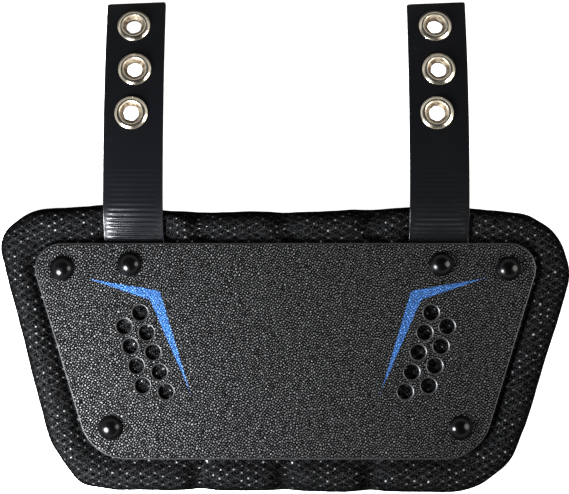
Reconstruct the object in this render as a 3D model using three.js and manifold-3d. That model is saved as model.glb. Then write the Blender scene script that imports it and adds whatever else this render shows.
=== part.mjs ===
// Football back plate: a hard vented plate riveted to a cloth-covered foam pad, hung by two eyeleted straps.
// Millimetres, +Z up. It lies on the back of its pad: the plate faces up and the straps point along +Y,
// and the origin is the middle of the footprint, on the surface under the pad.
import * as THREE from 'three';
import { mergeVertices } from 'three/addons/utils/BufferGeometryUtils.js';
import Module from 'manifold-3d';

const wasm = await Module();
wasm.setup();

// Clearance between pieces that touch
const GAP = 0.3;

// Plate: flat, rounded at its corners, with vents in two leaning groups
const PLATE = { top: 1.5, bottom: -114.2, topHalf: 138.6, bottomHalf: 103.8, thickness: 3, edge: 0.6 };
const PLATE_ROUND = { top: 14, bottom: 26 };
const VENT = { radius: 4 };
const VENT_ROWS = [
  { count: 5, across: 77.7, below: 37.3, stepAcross: -3.46, stepBelow: 10.54 },
  { count: 4, across: 86.2, below: 44.6, stepAcross: -3.29, stepBelow: 10.54 },
];

// Pad: one closed cushion whose border rolls up round the plate
const PAD = { seat: 17, stations: 140, pressSlope: 0.3 };
const CHANNEL = { places: [-46, 0, 46], depth: 2.6, inset: 0.06, half: 4.5 };
const PAD_CORNERS = [
  { x: 84, y: 21.5, round: 120 },
  { x: 14, y: 18.2, round: 400 },
  { x: -62, y: 18.5, round: 60 },
  { x: -88, y: 22.5, round: 50 },
  { x: -137, y: 19.5, round: 24 },
  { x: -155.7, y: 5.8, round: 17 },
  { x: -126.6, y: -106.5, round: 20 },
  { x: -110.5, y: -129, round: 11 },
  { x: -90, y: -131.8, round: 60 },
  { x: 100, y: -133.2, round: 36 },
  { x: 121, y: -117.7, round: 30 },
  { x: 129, y: -98.7, round: 70 },
  { x: 154.1, y: -15.7, round: 22 },
  { x: 148.2, y: 6.3, round: 26 },
  { x: 131, y: 17.3, round: 20 },
];
// Section of the border: share runs from the pad's outline (0) to the plate's edge (1),
// and channel is how much of a channel's dip is felt there
const PAD_SECTION = [
  { share: 0.3, height: 0, channel: 0 },
  { share: 0.1, height: 2, channel: 0.2 },
  { share: 0, height: 6.5, channel: 0.5 },
  { share: 0, height: 12.5, channel: 0.8 },
  { share: 0.08, height: 17, channel: 1 },
  { share: 0.24, height: 20.2, channel: 1 },
  { share: 0.46, height: 21.5, channel: 1 },
  { share: 0.7, height: 20.5, channel: 0.8 },
  { share: 0.9, height: 18.3, channel: 0.3 },
  { share: 1.02, height: PAD.seat, channel: 0 },
];

// Straps: each starts under the plate, climbs over the pad's border and droops to the surface
const STRAP = { width: 31.75, thickness: 2.2, buried: 21, flat: 20.5 };
const STRAP_TIP = { y: 132.05, skew: 0.04 };
const STRAP_CREST = { y: 25.3, z: 22, hollowShare: 0.3, droopRadius: 288 };
const RIB = { count: 16, first: 1.4, pitch: 2.59, height: 0.45, base: 1.7, crown: 0.8, sideMargin: 1.7 };

// Eyelets: three in each strap, about an inch apart, set by hand a little off their even places:
// across is from the strap's middle, and back is from the even place towards the plate.
// Each is a rolled flange over the strap, a barrel through it and a washer under it.
const GROMMET = { barrel: 5, fromTip: 12.7, pitch: 25.4, sides: 14 };
const GROMMET_ROWS = [
  { name: 'tip', across: -1, back: 1.5 },
  { name: 'middle', across: 0.2, back: 1.4 },
  { name: 'low', across: -1.2, back: 0.3 },
];
const WASHER_SECTION = [
  { radius: 4.7, depth: 0.7 },
  { radius: 5.1, depth: 1 },
  { radius: 8, depth: 1 },
  { radius: 8.6, depth: 0.5 },
  { radius: 8.6, depth: 0 },
  { radius: GROMMET.barrel, depth: 0 },
];
const FLANGE_SECTION = [
  { radius: GROMMET.barrel, height: 0 },
  { radius: 8.9, height: 0 },
  { radius: 8.6, height: 0.9 },
  { radius: 7.4, height: 1.55 },
  { radius: 6.5, height: 1.55 },
  { radius: 5.2, height: 0.6 },
  { radius: 4, height: -0.6 },
];

// Rivets: a dome on the plate, a shank through what it holds, and a flat tail inside the pad
const RIVET = { head: 6.6, dome: 4.4, shank: 2.2, tail: 4, tailThickness: 1, layer: 2, sides: 12 };
const RIVET_ROWS = [
  { name: 'corner', across: 119.2, y: PLATE.top - 13.6, throughStrap: false },
  { name: 'strap', across: 83.2, y: PLATE.top - 11.3, throughStrap: true },
  { name: 'bottom', across: 93.4, y: PLATE.bottom + 17.1, throughStrap: false },
];

// Steps in a half circle, and the two sides, with the place of each strap across the plate
const CURVE_STEPS = 6;
const SIDES = [{ name: 'left', sign: -1, strap: -81.2 }, { name: 'right', sign: 1, strap: 82.1 }];

// Heights that follow from the sizes above
const plateUnder = PAD.seat + GAP;
const plateTop = plateUnder + PLATE.thickness;
const strapMiddle = plateUnder - GAP - STRAP.thickness / 2;
const strapUnder = strapMiddle - STRAP.thickness / 2;

const plateFinish = { color: 0x26262a, roughness: 0.5, metalness: 0 };
const padFinish = { color: 0x15161a, roughness: 0.95, metalness: 0 };
const strapFinish = { color: 0x1b1b1d, roughness: 0.4, metalness: 0 };
const grommetFinish = { color: 0xb8b2a4, roughness: 0.3, metalness: 1 };
const rivetFinish = { color: 0x101011, roughness: 0.15, metalness: 0 };

function namedMesh(name, geometry, finish) {
  const mesh = new THREE.Mesh(geometry, new THREE.MeshStandardMaterial(finish));
  mesh.name = name;
  return mesh;
}

// A closed solid from a geometry, without the flat triangles that a lathe leaves on its axis
function toSolid(geometry) {
  const bare = geometry.clone();
  bare.deleteAttribute('normal');
  bare.deleteAttribute('uv');
  const merged = mergeVertices(bare);
  const index = merged.index.array;
  const triangles = [];
  for (let i = 0; i < index.length; i += 3) {
    const [a, b, c] = [index[i], index[i + 1], index[i + 2]];
    if (a !== b && b !== c && c !== a) triangles.push(a, b, c);
  }
  const vertProperties = new Float32Array(merged.attributes.position.array);
  const triVerts = new Uint32Array(triangles);
  return new wasm.Manifold(new wasm.Mesh({ numProp: 3, vertProperties, triVerts }));
}

function toGeometry(solid) {
  const mesh = solid.getMesh();
  const geometry = new THREE.BufferGeometry();
  geometry.setAttribute('position', new THREE.BufferAttribute(new Float32Array(mesh.vertProperties), 3));
  geometry.setIndex(new THREE.BufferAttribute(new Uint32Array(mesh.triVerts), 1));
  geometry.computeVertexNormals();
  return geometry;
}

// A turned solid: the rows run up its outside as radius and height, and +Z is its axis
function turned(rows, sides) {
  const profile = rows.map(([radius, height]) => new THREE.Vector2(radius, height));
  return new THREE.LatheGeometry(profile, sides).rotateX(Math.PI / 2);
}

// A closed outline through corners listed anticlockwise, each rounded by an arc of its own radius
function roundedShape(corners) {
  const shape = new THREE.Shape();
  corners.forEach((corner, i) => {
    const at = new THREE.Vector2(corner.x, corner.y);
    const before = corners[(i + corners.length - 1) % corners.length];
    const after = corners[(i + 1) % corners.length];
    const back = new THREE.Vector2(before.x, before.y).sub(at).normalize();
    const ahead = new THREE.Vector2(after.x, after.y).sub(at).normalize();
    const half = Math.acos(back.dot(ahead)) / 2;
    const reach = corner.round / Math.tan(half);
    const inward = back.clone().add(ahead).normalize();
    const centre = at.clone().addScaledVector(inward, corner.round / Math.sin(half));
    const start = at.clone().addScaledVector(back, reach).sub(centre);
    const end = at.clone().addScaledVector(ahead, reach).sub(centre);
    const clockwise = back.cross(ahead) > 0;
    shape.absarc(centre.x, centre.y, corner.round, start.angle(), end.angle(), clockwise);
  });
  shape.closePath();
  return shape;
}

function plateOutline() {
  return roundedShape([
    { x: PLATE.topHalf, y: PLATE.top, round: PLATE_ROUND.top },
    { x: -PLATE.topHalf, y: PLATE.top, round: PLATE_ROUND.top },
    { x: -PLATE.bottomHalf, y: PLATE.bottom, round: PLATE_ROUND.bottom },
    { x: PLATE.bottomHalf, y: PLATE.bottom, round: PLATE_ROUND.bottom },
  ]);
}

function buildPlate() {
  const shape = plateOutline();
  const addHole = (x, y, radius) => {
    const hole = new THREE.Path();
    hole.absarc(x, y, radius, 0, Math.PI * 2, true);
    shape.holes.push(hole);
  };
  for (const side of SIDES) {
    for (const row of VENT_ROWS) {
      for (let i = 0; i < row.count; i += 1) {
        const across = row.across + row.stepAcross * i;
        const below = row.below + row.stepBelow * i;
        addHole(side.sign * across, PLATE.top - below, VENT.radius);
      }
    }
    for (const row of RIVET_ROWS) addHole(side.sign * row.across, row.y, RIVET.shank + GAP);
  }
  const geometry = new THREE.ExtrudeGeometry(shape, {
    depth: PLATE.thickness - 2 * PLATE.edge,
    bevelThickness: PLATE.edge,
    bevelSize: PLATE.edge,
    bevelOffset: -PLATE.edge,
    bevelSegments: 1,
    curveSegments: CURVE_STEPS,
  });
  const plate = namedMesh('plate', geometry, plateFinish);
  plate.position.z = plateUnder + PLATE.edge;
  return plate;
}

// The strap's centre line in the Y-Z plane: straight under the plate, up in a hollow bend, over the crest,
// then down along the droop. Each stretch is a line or an arc from heading to heading, in radians.
function strapStretches() {
  const start = { y: PLATE.top - STRAP.buried, z: strapMiddle };
  const run = STRAP_CREST.y - start.y - STRAP.flat;
  const climb = 2 * Math.atan((STRAP_CREST.z - start.z) / run);
  const bends = run / Math.sin(climb);
  const droop = Math.asin((STRAP_TIP.y - STRAP_CREST.y) / STRAP_CREST.droopRadius);
  return {
    start,
    rows: [
      { length: STRAP.flat, turn: 0, steps: 1 },
      { length: bends * STRAP_CREST.hollowShare * climb, turn: climb, steps: 4 },
      { length: bends * (1 - STRAP_CREST.hollowShare) * climb, turn: -climb, steps: 5 },
      { length: STRAP_CREST.droopRadius * droop, turn: -droop, steps: 10 },
    ],
  };
}

const stretches = strapStretches();
const strapLength = stretches.rows.reduce((sum, row) => sum + row.length, 0);

// Place and heading at a distance along the strap from its buried end
function strapAt(along) {
  const at = { ...stretches.start, heading: 0 };
  let left = along;
  for (const row of stretches.rows) {
    const used = Math.min(left, row.length);
    const turn = row.turn * used / row.length;
    const chord = turn === 0 ? used : 2 * Math.sin(turn / 2) * used / turn;
    at.y += chord * Math.cos(at.heading + turn / 2);
    at.z += chord * Math.sin(at.heading + turn / 2);
    at.heading += turn;
    left -= used;
    if (left <= 0) break;
  }
  return at;
}

function strapStations() {
  const stations = [0];
  let along = 0;
  for (const row of stretches.rows) {
    for (let i = 1; i <= row.steps; i += 1) stations.push(along + row.length * i / row.steps);
    along += row.length;
  }
  return stations.map(strapAt);
}

const strapLine = strapStations();

// A shape drawn in the Y-Z plane, swept across X and centred on it
function sweptAcross(points, width) {
  const shape = new THREE.Shape(points.map(([y, z]) => new THREE.Vector2(y, z)));
  const geometry = new THREE.ExtrudeGeometry(shape, { depth: width, bevelEnabled: false });
  const axes = [new THREE.Vector3(0, 1, 0), new THREE.Vector3(0, 0, 1), new THREE.Vector3(1, 0, 0)];
  geometry.applyMatrix4(new THREE.Matrix4().makeBasis(...axes));
  return geometry.translate(-width / 2, 0, 0);
}

// The strap's band, or with extra the room that it needs in the pad
function strapBand(extra) {
  const half = STRAP.thickness / 2 + extra;
  const beside = (at, offset) => [at.y - Math.sin(at.heading) * offset, at.z + Math.cos(at.heading) * offset];
  const under = strapLine.map((at) => beside(at, -half));
  const over = strapLine.map((at) => beside(at, half)).reverse();
  under[0][0] -= extra;
  over[over.length - 1][0] -= extra;
  return sweptAcross([...under, ...over], STRAP.width + 2 * extra);
}

// Leans a strap's tip, which is cut slightly out of square
function skewTip(geometry) {
  const place = geometry.attributes.position;
  const tipStart = strapLine[strapLine.length - 2].y + STRAP.thickness;
  for (let i = 0; i < place.count; i += 1) {
    if (place.getY(i) > tipStart) place.setY(i, place.getY(i) + place.getX(i) * STRAP_TIP.skew);
  }
  return geometry;
}

// A low rib across the strap, standing on its face
function ribBar(along) {
  const section = [
    [-RIB.base / 2, -GAP], [RIB.base / 2, -GAP], [RIB.base / 2, 0],
    [RIB.crown / 2, RIB.height], [-RIB.crown / 2, RIB.height], [-RIB.base / 2, 0],
  ];
  const bar = sweptAcross(section, STRAP.width - 2 * RIB.sideMargin);
  const at = strapAt(along);
  return bar.translate(0, 0, STRAP.thickness / 2).rotateX(at.heading).translate(0, at.y, at.z);
}

// Distance along the strap to an eyelet, counted from the tip
function grommetAlong(order) {
  const fromTip = GROMMET.fromTip + order * GROMMET.pitch + GROMMET_ROWS[order].back;
  return strapLength - fromTip;
}

function buildStrap(side) {
  let solid = toSolid(skewTip(strapBand(0)));
  for (let i = 0; i < RIB.count; i += 1) {
    solid = solid.add(toSolid(ribBar(STRAP.buried + RIB.first + i * RIB.pitch)));
  }
  GROMMET_ROWS.forEach((row, i) => {
    const at = strapAt(grommetAlong(i));
    const punch = turned([[0, -STRAP.thickness], [GROMMET.barrel + GAP, -STRAP.thickness],
      [GROMMET.barrel + GAP, STRAP.thickness], [0, STRAP.thickness]], GROMMET.sides);
    punch.rotateX(at.heading).translate(row.across, at.y, at.z);
    solid = solid.subtract(toSolid(punch));
  });
  const rivetRow = RIVET_ROWS.find((row) => row.throughStrap);
  const rivetPunch = turned([[0, 0], [RIVET.shank + GAP, 0], [RIVET.shank + GAP, plateTop], [0, plateTop]],
    RIVET.sides);
  rivetPunch.translate(side.sign * rivetRow.across - side.strap, rivetRow.y, 0);
  solid = solid.subtract(toSolid(rivetPunch));
  return namedMesh(`strap_${side.name}`, toGeometry(solid), strapFinish);
}

// An eyelet about the strap's middle plane, closed on itself round its hole
function buildGrommet(side, row, order) {
  const seat = STRAP.thickness / 2 + GAP;
  const profile = [
    ...WASHER_SECTION.map(({ radius, depth }) => [radius, -seat - depth]),
    ...FLANGE_SECTION.map(({ radius, height }) => [radius, seat + height]),
  ];
  const geometry = turned([...profile, profile[0]], GROMMET.sides);
  const grommet = namedMesh(`grommet_${side.name}_${row.name}`, geometry, grommetFinish);
  const at = strapAt(grommetAlong(order));
  grommet.position.set(row.across, at.y, at.z);
  grommet.rotation.x = at.heading;
  return grommet;
}

// Underside of a rivet's hold: the tail grips a layer of the pad, under the strap where there is one
const rivetGrip = (row) => (row.throughStrap ? strapUnder - GAP : PAD.seat) - RIVET.layer;

function buildRivet(side, row) {
  const seat = plateTop + GAP;
  const grip = rivetGrip(row);
  const ball = (RIVET.head ** 2 + RIVET.dome ** 2) / (2 * RIVET.dome);
  const rim = Math.asin(RIVET.head / ball);
  const rows = [[0, grip - RIVET.tailThickness], [RIVET.tail, grip - RIVET.tailThickness], [RIVET.tail, grip],
    [RIVET.shank, grip], [RIVET.shank, seat]];
  for (let i = 0; i < CURVE_STEPS; i += 1) {
    const angle = rim * (1 - i / CURVE_STEPS);
    rows.push([ball * Math.sin(angle), seat + RIVET.dome - ball * (1 - Math.cos(angle))]);
  }
  rows.push([0, seat + RIVET.dome]);
  const rivet = namedMesh(`rivet_${side.name}_${row.name}`, turned(rows, RIVET.sides), rivetFinish);
  rivet.position.set(side.sign * row.across, row.y, 0);
  return rivet;
}

function nearestOn(outline, point) {
  let best = null;
  outline.forEach((end, i) => {
    const start = outline[(i + outline.length - 1) % outline.length];
    const span = new THREE.Vector2().subVectors(end, start);
    const share = THREE.MathUtils.clamp(point.clone().sub(start).dot(span) / span.lengthSq(), 0, 1);
    const candidate = start.clone().addScaledVector(span, share);
    if (best === null || candidate.distanceTo(point) < best.distanceTo(point)) best = candidate;
  });
  return best;
}

// Height to which a strap presses the pad's border, rising away from the strap's sides
function pressedHeight(x, y) {
  const aside = Math.min(...SIDES.map((side) => Math.abs(x - side.strap)));
  const beside = Math.max(0, aside - STRAP.width / 2 - GAP);
  const next = strapLine.findIndex((at) => at.y > y);
  const [a, b] = [strapLine[Math.max(next - 1, 0)], strapLine[next]];
  const middle = THREE.MathUtils.mapLinear(y, a.y, b.y, a.z, b.z);
  const thickness = STRAP.thickness / Math.cos(b.heading);
  return middle - thickness / 2 - 2 * GAP + beside * PAD.pressSlope;
}

// One ring of the pad for each row of its section, from the back's edge over the roll to the plate's seat
function padRings() {
  const outline = roundedShape(PAD_CORNERS).getSpacedPoints(PAD.stations).slice(0, PAD.stations);
  const plateEdge = plateOutline().getPoints(CURVE_STEPS).slice(0, -1);
  const inner = outline.map((point) => nearestOn(plateEdge, point));
  return PAD_SECTION.map((row) => outline.map((point, i) => {
    const nearest = Math.min(...CHANNEL.places.map((channel) => Math.abs(point.x - channel)));
    const dip = row.channel * Math.exp(-((nearest / CHANNEL.half) ** 2));
    const place = point.clone().lerp(inner[i], row.share + CHANNEL.inset * dip);
    const height = row.height - CHANNEL.depth * dip;
    const pressed = place.y > PLATE.top ? Math.min(height, pressedHeight(place.x, place.y)) : height;
    return new THREE.Vector3(place.x, place.y, pressed);
  }));
}

// Skins the rings of the pad and closes the first and the last
function padForm() {
  const rings = padRings();
  const count = PAD.stations;
  const index = [];
  for (let r = 0; r < rings.length - 1; r += 1) {
    for (let i = 0; i < count; i += 1) {
      const [a, b] = [r * count + i, r * count + (i + 1) % count];
      index.push(a, b, a + count, b, b + count, a + count);
    }
  }
  const flat = (ring) => ring.map((point) => new THREE.Vector2(point.x, point.y));
  const seatBase = (rings.length - 1) * count;
  for (const [a, b, c] of THREE.ShapeUtils.triangulateShape(flat(rings[0]), [])) index.push(a, c, b);
  for (const [a, b, c] of THREE.ShapeUtils.triangulateShape(flat(rings[rings.length - 1]), [])) {
    index.push(seatBase + a, seatBase + b, seatBase + c);
  }
  const geometry = new THREE.BufferGeometry().setFromPoints(rings.flat());
  geometry.setIndex(index);
  return geometry;
}

function buildPad() {
  let solid = toSolid(padForm());
  for (const side of SIDES) {
    const room = strapBand(GAP).translate(side.strap, 0, 0);
    solid = solid.subtract(toSolid(room));
    for (const row of RIVET_ROWS) {
      const grip = rivetGrip(row);
      const pocket = turned([
        [0, grip - RIVET.tailThickness - GAP], [RIVET.tail + GAP, grip - RIVET.tailThickness - GAP],
        [RIVET.tail + GAP, grip + GAP], [RIVET.shank + GAP, grip + GAP],
        [RIVET.shank + GAP, plateTop], [0, plateTop],
      ], RIVET.sides);
      solid = solid.subtract(toSolid(pocket.translate(side.sign * row.across, row.y, 0)));
    }
  }
  return namedMesh('pad', toGeometry(solid), padFinish);
}

const backPlate = new THREE.Group();
backPlate.add(buildPad(), buildPlate());
for (const side of SIDES) {
  const hanger = new THREE.Group();
  hanger.position.x = side.strap;
  hanger.add(buildStrap(side));
  GROMMET_ROWS.forEach((row, order) => hanger.add(buildGrommet(side, row, order)));
  backPlate.add(hanger);
  for (const row of RIVET_ROWS) backPlate.add(buildRivet(side, row));
}

export default backPlate;
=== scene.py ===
import math
from functools import partial
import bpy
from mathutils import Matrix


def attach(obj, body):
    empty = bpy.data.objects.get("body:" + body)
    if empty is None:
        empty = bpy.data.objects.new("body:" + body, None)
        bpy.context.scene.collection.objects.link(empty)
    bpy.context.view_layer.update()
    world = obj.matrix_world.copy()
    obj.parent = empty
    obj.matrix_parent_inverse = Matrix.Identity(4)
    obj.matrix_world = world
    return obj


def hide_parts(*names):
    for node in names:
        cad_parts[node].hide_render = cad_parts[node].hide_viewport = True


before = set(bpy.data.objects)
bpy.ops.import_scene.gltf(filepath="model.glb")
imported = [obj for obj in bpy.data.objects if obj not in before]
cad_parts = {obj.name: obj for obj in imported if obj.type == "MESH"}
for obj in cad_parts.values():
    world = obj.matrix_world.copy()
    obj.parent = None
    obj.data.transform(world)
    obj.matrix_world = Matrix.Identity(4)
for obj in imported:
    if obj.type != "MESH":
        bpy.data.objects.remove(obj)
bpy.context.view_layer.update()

from types import SimpleNamespace
import bpy
import bmesh
import numpy as np
from mathutils import Matrix, Vector, noise

mm = 0.001  # sizes below are in millimetres, Blender's are in metres
seatGap = 0.3  # clearance between pieces that touch
sideSigns = {"left": -1, "right": 1}
tiny = 1e-6  # stands for nothing, in metres or millimetres
farAbove = 1e3  # a height that presses on nothing


def named(values):
    return SimpleNamespace(**values)  # so that a piece's values read as v.name


# small geometry tools

def unit(vector):
    return vector / np.linalg.norm(vector)


def unitRows(rows):
    return rows / np.maximum(np.linalg.norm(rows, axis=1), tiny)[:, None]


def softStep(low, high, value):
    share = np.clip((value - low) / (high - low), 0, 1)
    return share * share * (3 - 2 * share)


def bellCurve(distance, half):
    return np.exp(-(distance / half) ** 2)


def splineRows(rows, steps, closed=False):
    rows = np.array(rows, float)
    count = len(rows)
    points = []
    for i in range(count if closed else count - 1):
        order = [i - 1, i, i + 1, i + 2]
        picks = [k % count if closed else min(max(k, 0), count - 1) for k in order]
        a, b, c, d = rows[picks]
        for t in np.arange(steps) / steps:
            bend = (2 * a - 5 * b + 4 * c - d) * t ** 2 + (3 * b - a - 3 * c + d) * t ** 3
            points.append(0.5 * (2 * b + (c - a) * t + bend))
    if not closed:
        points.append(rows[-1])
    return np.array(points)


def roundedOutline(corners, arcStep=1.0):
    outline = []
    for i, (x, y, radius) in enumerate(corners):
        here = np.array((x, y), float)
        back = unit(np.array(corners[i - 1][:2]) - here)
        ahead = unit(np.array(corners[(i + 1) % len(corners)][:2]) - here)
        half = math.acos(back @ ahead) / 2
        centre = here + unit(back + ahead) * radius / math.sin(half)
        start = here + back * radius / math.tan(half) - centre
        end = here + ahead * radius / math.tan(half) - centre
        first = math.atan2(start[1], start[0])
        sweep = (math.atan2(end[1], end[0]) - first + math.pi) % (2 * math.pi) - math.pi
        steps = max(2, math.ceil(abs(sweep) * radius / arcStep))
        for angle in first + sweep * np.arange(steps + 1) / steps:
            outline.append(centre + radius * np.array((math.cos(angle), math.sin(angle))))
    return np.array(outline)


def evenPoints(outline, count):
    loop = np.vstack([outline, outline[:1]])
    along = np.concatenate([[0], np.cumsum(np.linalg.norm(np.diff(loop, axis=0), axis=1))])
    wanted = np.linspace(0, along[-1], count, endpoint=False)
    return np.column_stack([np.interp(wanted, along, loop[:, k]) for k in (0, 1)])


def circlePoints(x, y, radius, count):
    angles = np.arange(count) * 2 * math.pi / count
    return np.column_stack([x + radius * np.cos(angles), y + radius * np.sin(angles)])


# small mesh tools

def linkPiece(name, data):
    piece = bpy.data.objects.new(name, data)
    bpy.context.scene.collection.objects.link(piece)
    return piece


def meshPiece(name, points, faces):
    mesh = bpy.data.meshes.new(name)
    mesh.from_pydata([tuple(point) for point in np.array(points, float) * mm], [], faces)
    mesh.update()
    return linkPiece(name, mesh)


def turnOutward(mesh):
    shape = bmesh.new()
    shape.from_mesh(mesh)
    bmesh.ops.remove_doubles(shape, verts=shape.verts, dist=tiny)
    bmesh.ops.recalc_face_normals(shape, faces=shape.faces)
    shape.to_mesh(mesh)
    shape.free()


def smoothShade(piece, sharpDegrees):
    piece.data.shade_smooth()
    piece.data.set_sharp_from_angle(angle=math.radians(sharpDegrees))


def readPlaces(mesh):
    places = np.zeros(len(mesh.vertices) * 3, np.float32)
    mesh.vertices.foreach_get("co", places)
    return places.reshape(-1, 3)


def readNormals(mesh):
    return np.array([vertex.normal for vertex in mesh.vertices])


def writePlaces(mesh, places):
    mesh.vertices.foreach_set("co", places.astype(np.float32).ravel())
    mesh.update()


def evaluatedMesh(piece):
    depsgraph = bpy.context.evaluated_depsgraph_get()
    return bpy.data.meshes.new_from_object(piece.evaluated_get(depsgraph))


def bakeModifiers(piece):
    plain = evaluatedMesh(piece)
    piece.modifiers.clear()
    old = piece.data
    piece.data = plain
    bpy.data.meshes.remove(old)


def dressPiece(piece, material, nodes):
    piece.data.materials.clear()
    piece.data.materials.append(material)
    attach(piece, "root")
    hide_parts(*nodes)


def seatMatrix(x, y, z, tilt):
    return Matrix.Translation(Vector((x, y, z)) * mm) @ Matrix.Rotation(tilt, 4, "X")


def bandFaces(low, high):
    # quads between two rings of point numbers, or triangles where one ring is a single point
    count = len(low)
    faces = []
    for i in range(count):
        j = (i + 1) % count
        faces.append(tuple(dict.fromkeys((low[i], low[j], high[j], high[i]))))
    return faces


def turnedPiece(name, profile, sides, closed=False, dent=None):
    points = []
    rows = []  # the point numbers of each row of the profile
    for radius, height in profile:
        if radius < tiny:
            rows.append([len(points)] * sides)
            points.append((0, 0, height))
            continue
        rows.append(range(len(points), len(points) + sides))
        for angle in np.arange(sides) * 2 * math.pi / sides:
            reach = radius + (dent(angle, radius, height) if dent else 0)
            points.append((reach * math.cos(angle), reach * math.sin(angle), height))
    faces = []
    for k in range(len(rows) if closed else len(rows) - 1):
        faces += bandFaces(rows[k], rows[(k + 1) % len(rows)])
    return meshPiece(name, points, faces)


# small node tools

def feed(socket, value):
    if isinstance(value, bpy.types.NodeSocket):
        socket.id_data.links.new(value, socket)
    else:
        socket.default_value = value


def addNode(kind, values, **settings):
    # the node joins the tree that its linked values come from
    tree = next(value.id_data for value in values.values() if isinstance(value, bpy.types.NodeSocket))
    node = tree.nodes.new("ShaderNode" + kind)
    for name, setting in settings.items():
        setattr(node, name, setting)
    for socket, value in values.items():
        feed(node.inputs[socket], value)
    return node.outputs


def maths(operation, *values):
    return addNode("Math", dict(enumerate(values)), operation=operation)[0]


times = partial(maths, "MULTIPLY")
plus = partial(maths, "ADD")
minus = partial(maths, "SUBTRACT")
timesPlus = partial(maths, "MULTIPLY_ADD")


def vectorMaths(operation, *values):
    output = "Value" if operation == "DOT_PRODUCT" else "Vector"
    return addNode("VectorMath", dict(enumerate(values)), operation=operation)[output]


def scaled(vector, factor):
    return addNode("VectorMath", {0: vector, "Scale": factor}, operation="SCALE")["Vector"]


def mapped(value, fromLow, fromHigh, toLow=0.0, toHigh=1.0, soft=True):
    values = dict(enumerate((value, fromLow, fromHigh, toLow, toHigh)))
    return addNode("MapRange", values, interpolation_type="SMOOTHSTEP" if soft else "LINEAR")[0]


def blended(share, first, second):
    return addNode("Mix", {0: share, 6: first, 7: second}, data_type="RGBA")[2]  # the colour sockets


def noiseAt(vector, scale, detail=2.0, roughness=0.5):
    values = {"Vector": vector, "Scale": scale, "Detail": detail, "Roughness": roughness}
    return addNode("TexNoise", values)


def splitPlace(vector):
    return addNode("SeparateXYZ", {0: vector})


def joinPlace(x, y):
    return addNode("CombineXYZ", {"X": x, "Y": y})[0]


def splitColour(colour):
    return addNode("SeparateColor", {0: colour})


def bentPlace(place, scale, detail, reach):
    # shifts each place by a slow noise, so that no lattice on it lines up for long
    shift = vectorMaths("SUBTRACT", noiseAt(place, scale, detail)["Color"], (0.5, 0.5, 0.5))
    return vectorMaths("ADD", place, scaled(shift, reach))


def coordinates(tree):
    return tree.nodes.new("ShaderNodeTexCoord").outputs


def facingUp(tree):
    return splitPlace(coordinates(tree)["Normal"])["Z"]


def objectPlace(tree):
    return coordinates(tree)["Object"]


def newGroup(name, inputs, outputs):
    # each socket's kind comes from its default: a number, a colour, or None for a place
    tree = bpy.data.node_groups.new(name, "ShaderNodeTree")
    for way, sockets in (("INPUT", inputs), ("OUTPUT", outputs)):
        for label, value in sockets.items():
            kind = "Float" if isinstance(value, float) else "Color" if value else "Vector"
            socket = tree.interface.new_socket(label, in_out=way, socket_type="NodeSocket" + kind)
            if value is not None:
                socket.default_value = value
    return tree, tree.nodes.new("NodeGroupInput").outputs, tree.nodes.new("NodeGroupOutput").inputs


def placeGroup(group, **values):
    return addNode("Group", values, node_tree=group)


def newMaterial(name, **shaderValues):
    material = bpy.data.materials.new(name)
    material.use_nodes = True
    tree = material.node_tree
    shader = tree.nodes["Principled BSDF"]
    for label, value in shaderValues.items():
        shader.inputs[label.replace("_", " ")].default_value = value
    return material, tree, shader.inputs


def bumped(height, strength, depth):
    values = {"Height": height, "Strength": strength, "Distance": depth * mm}
    return addNode("Bump", values)["Normal"]


# camera, light and floor

studioValues = {
    "camera": (-0.53, -0.7, 770), "lens": 88.94, "sensor": 36, "nearest": 10,
    "lamps": {
        "keyLamp": {
            "place": (-230, -166, 206), "aim": (-20, -40, 15), "size": 150,
            "watts": 5.8, "colour": (0.94, 0.965, 1),
        },
        "sideLamp": {
            "place": (504, -12, 339), "aim": (0, -20, 15), "size": 380,
            "watts": 3.3, "colour": (1, 0.95, 0.9),
        },
    },
    "sky": [  # the direction's height, from -1 to 1, and the tone there
        (-1.0, (0.03, 0.03, 0.03)),
        (-0.3, (0.06, 0.06, 0.06)),
        (0.05, (0.39, 0.395, 0.4)),
        (0.3, (0.96, 0.985, 1.0)),
        (0.62, (0.096, 0.1, 0.104)),
        (0.96, (0.02, 0.021, 0.023)),
    ],
    "floorHalf": 3000, "floorRough": 0.9,
    "floorTone": (0.85, 0.85, 0.85, 1), "floorLight": (1, 1, 1, 1), "floorGlow": 0.98,
}


def addCamera():
    v = named(studioValues)
    cameraData = bpy.data.cameras.new("camera")
    cameraData.lens = v.lens
    cameraData.sensor_width = v.sensor
    cameraData.sensor_fit = "HORIZONTAL"
    cameraData.clip_start = v.nearest * mm
    camera = linkPiece("camera", cameraData)
    camera.location = Vector(v.camera) * mm
    bpy.context.scene.camera = camera


def addLamp(name, values):
    lamp = bpy.data.lights.new(name, "AREA")
    lamp.shape = "DISK"
    lamp.size = values["size"] * mm
    lamp.energy = values["watts"]
    lamp.color = values["colour"]
    holder = linkPiece(name, lamp)
    holder.location = Vector(values["place"]) * mm
    aim = Vector(values["aim"]) * mm - holder.location
    holder.rotation_euler = aim.to_track_quat("-Z", "Y").to_euler()
    holder.visible_camera = False


def addSky():
    stops = studioValues["sky"]
    world = bpy.data.worlds.new("studio")
    bpy.context.scene.world = world
    world.use_nodes = True
    tree = world.node_tree
    direction = splitPlace(coordinates(tree)["Generated"])
    ramp = tree.nodes.new("ShaderNodeValToRGB")
    ramp.color_ramp.interpolation = "EASE"
    for height, _ in stops[1:-1]:
        ramp.color_ramp.elements.new((height + 1) / 2)
    for stop, (height, tone) in zip(ramp.color_ramp.elements, stops):
        stop.position = (height + 1) / 2
        stop.color = (*tone, 1)
    feed(ramp.inputs[0], mapped(direction["Z"], -1.0, 1.0, soft=False))
    feed(tree.nodes["Background"].inputs["Color"], ramp.outputs["Color"])


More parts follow.
